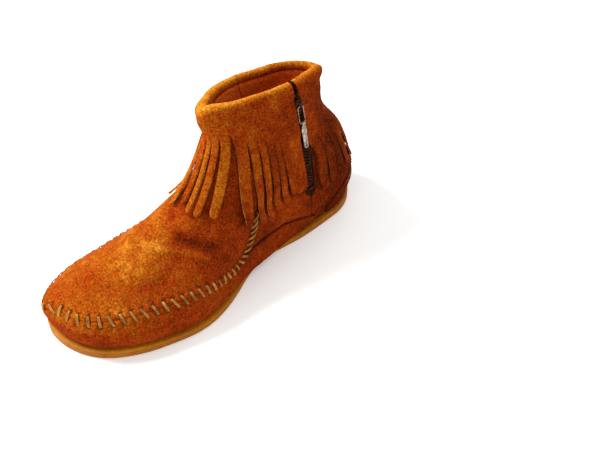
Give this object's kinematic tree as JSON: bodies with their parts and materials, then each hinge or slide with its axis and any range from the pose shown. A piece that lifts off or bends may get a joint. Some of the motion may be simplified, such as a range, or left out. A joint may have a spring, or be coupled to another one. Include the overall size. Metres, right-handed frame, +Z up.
{
  "type": "moccasin",
  "caption": "Low suede moccasin ankle boot with a fringed cuff, whip-stitched toe seam, side zip, and bead and feather ornament, on a flat gum sole.",
  "frame": {"origin": "centre of the bounding box at the tread, on the floor the boot stands on", "axes": "+Y from toe to heel, +X to the inner side where the zip is, +Z up"},
  "size_m": [0.0984, 0.257, 0.1289],
  "materials": {
    "suede": "napped, mottled orange-brown suede",
    "fringe_suede": "napped suede with paler cut edges",
    "thong": "soft suede lace",
    "gum_sole": "semi-matte gum rubber",
    "board": "pressed leather board",
    "sock": "smooth sock leather over foam",
    "foam": "open-cell cushion foam",
    "lining": "brushed suede facing",
    "thread": "waxed thread",
    "zip_tape": "woven tape",
    "zip_brass": "antique, slightly worn",
    "pull_steel": "nickel plated, lightly scuffed",
    "bead": "glossy dark blue-grey glazed bead",
    "feather": "downy vane with dark bars"
  },
  "bodies": {
    "boot": {"toe_wrap": "suede", "vamp_plug": "suede", "quarter_medial": "suede", "quarter_rear": "suede", "quarter_lateral": "suede", "heel_counter_cover": "suede", "cuff_front": "fringe_suede", "cuff_rear": "fringe_suede", "thong_keeper": "thong", "outsole": "gum_sole", "insole_board": "board", "heel_stiffener": "board", "footbed": "sock", "heel_pad": "foam", "heel_lining": "lining", "collar_facing_front": "lining", "collar_facing_rear": "lining", "whip_stitch": "thread", "counter_stitch": "thread", "cuff_seam_stitch": "thread", "zip_tape_front": "zip_tape", "zip_tape_rear": "zip_tape", "zip_teeth_front": "zip_brass", "zip_teeth_rear": "zip_brass", "zip_top_stop_front": "zip_brass", "zip_top_stop_rear": "zip_brass", "zip_bottom_stop": "zip_brass"},
    "slider": {"zip_slider": "zip_brass"},
    "pull_link": {"zip_pull_link": "pull_steel"},
    "pull_tab": {"zip_pull_tab": "pull_steel"},
    "strand_front": {"thong_front": "thong", "bead_front": "bead", "feather_front": "feather"},
    "strand_rear": {"thong_rear": "thong", "bead_rear": "bead", "feather_rear": "feather"}
  },
  "joints": [
    {"name": "zip_slide", "type": "slide", "parent": "boot", "child": "slider", "axis": [0.1963, 0, -0.9805], "range_m": [0, 0.056]},
    {"name": "pull_link_hinge", "type": "hinge", "parent": "slider", "child": "pull_link", "pos_m": [0.0143, 0.06936, 0.10875], "axis": [0, -1, 0], "range_deg": [0, 150]},
    {"name": "pull_tab_hinge", "type": "hinge", "parent": "pull_link", "child": "pull_tab", "pos_m": [0.01693, 0.06936, 0.09561], "axis": [0, -1, 0], "range_deg": [0, 50]},
    {"name": "strand_front_swing", "type": "hinge", "parent": "boot", "child": "strand_front", "pos_m": [-0.03018, 0.0345, 0.09696], "axis": [-0.2239, 0.9746, 0], "range_deg": [0, 100]},
    {"name": "strand_rear_swing", "type": "hinge", "parent": "boot", "child": "strand_rear", "pos_m": [-0.03197, 0.04229, 0.09696], "axis": [-0.2239, 0.9746, 0], "range_deg": [0, 100]}
  ]
}
